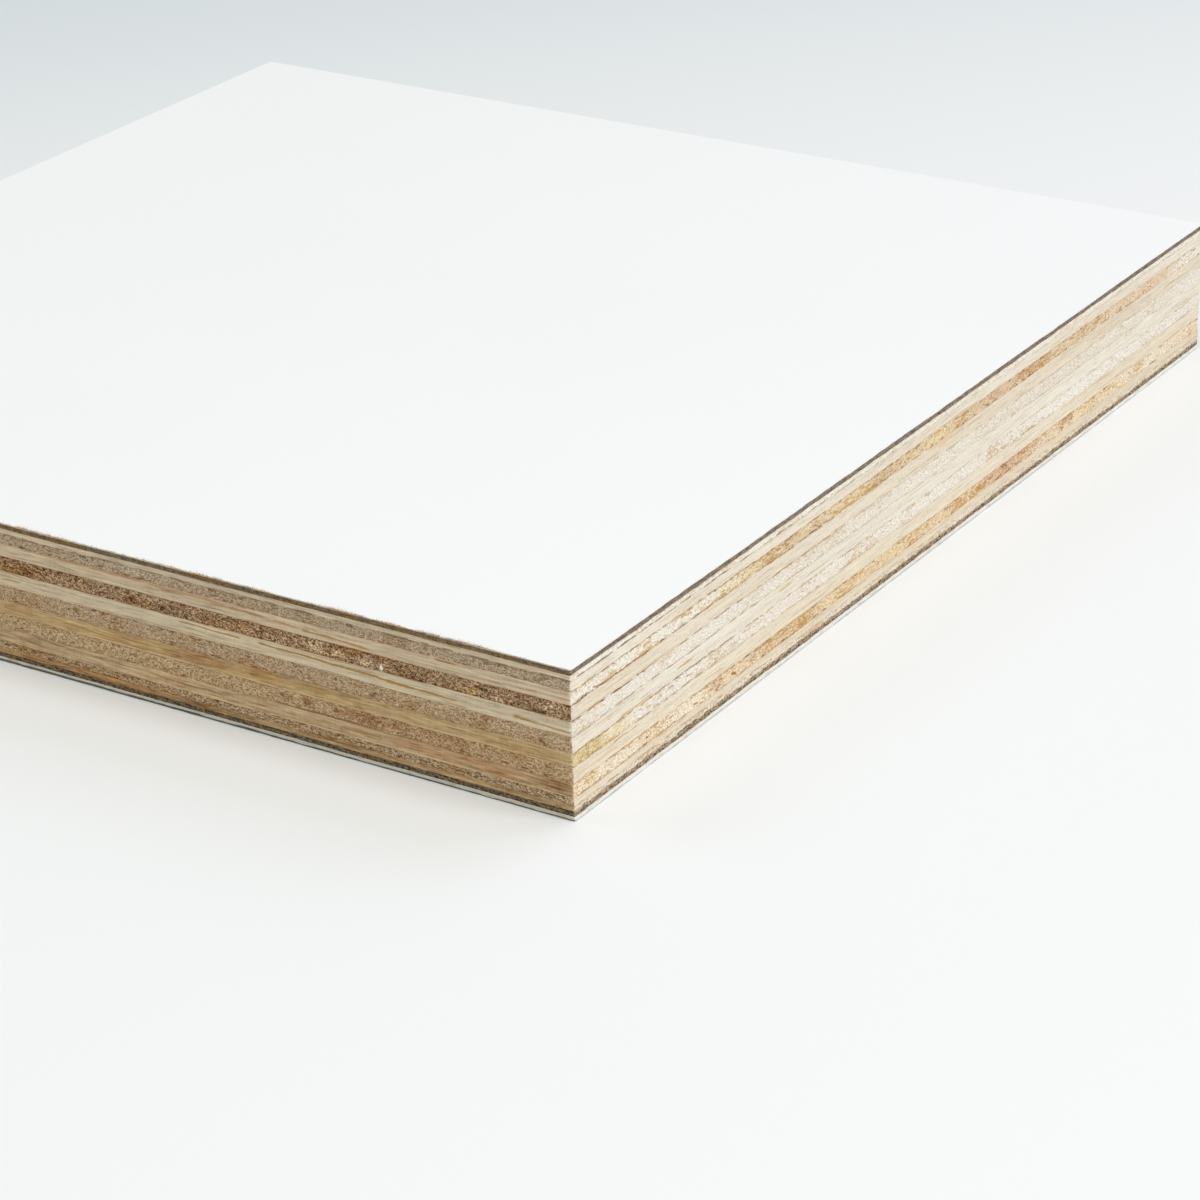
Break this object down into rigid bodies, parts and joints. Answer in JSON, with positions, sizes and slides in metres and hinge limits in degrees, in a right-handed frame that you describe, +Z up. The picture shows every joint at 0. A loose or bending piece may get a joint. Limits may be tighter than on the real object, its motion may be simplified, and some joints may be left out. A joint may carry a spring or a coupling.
{
  "type": "laminate-faced plywood panel",
  "caption": "Square-cut flat panel of cross-banded plywood with white laminate faces on dark kraft sheets and bare sawn edges that show every ply.",
  "frame": {"origin": "centre of the underside", "axes": "+Z up through the thickness, X along the grain of the face veneer, front sawn edge towards -Y"},
  "size_m": [0.15, 0.15, 0.0172],
  "materials": {
    "white_decor": "satin",
    "brown_kraft": "matte",
    "pale_veneer": "matte",
    "grey_veneer": "matte",
    "yellow_veneer": "matte",
    "tan_veneer": "matte"
  },
  "bodies": {
    "root": {"top_decor_sheet": "white_decor", "top_kraft_sheet": "brown_kraft", "face_veneer": "pale_veneer", "cross_veneer_1": "grey_veneer", "long_veneer_1": "pale_veneer", "cross_veneer_2": "grey_veneer", "long_veneer_2": "pale_veneer", "cross_veneer_3": "grey_veneer", "long_veneer_3": "yellow_veneer", "cross_veneer_4": "grey_veneer", "long_veneer_4": "tan_veneer", "cross_veneer_5": "grey_veneer", "back_veneer": "tan_veneer", "bottom_kraft_sheet": "brown_kraft", "bottom_decor_sheet": "white_decor"}
  },
  "joints": []
}
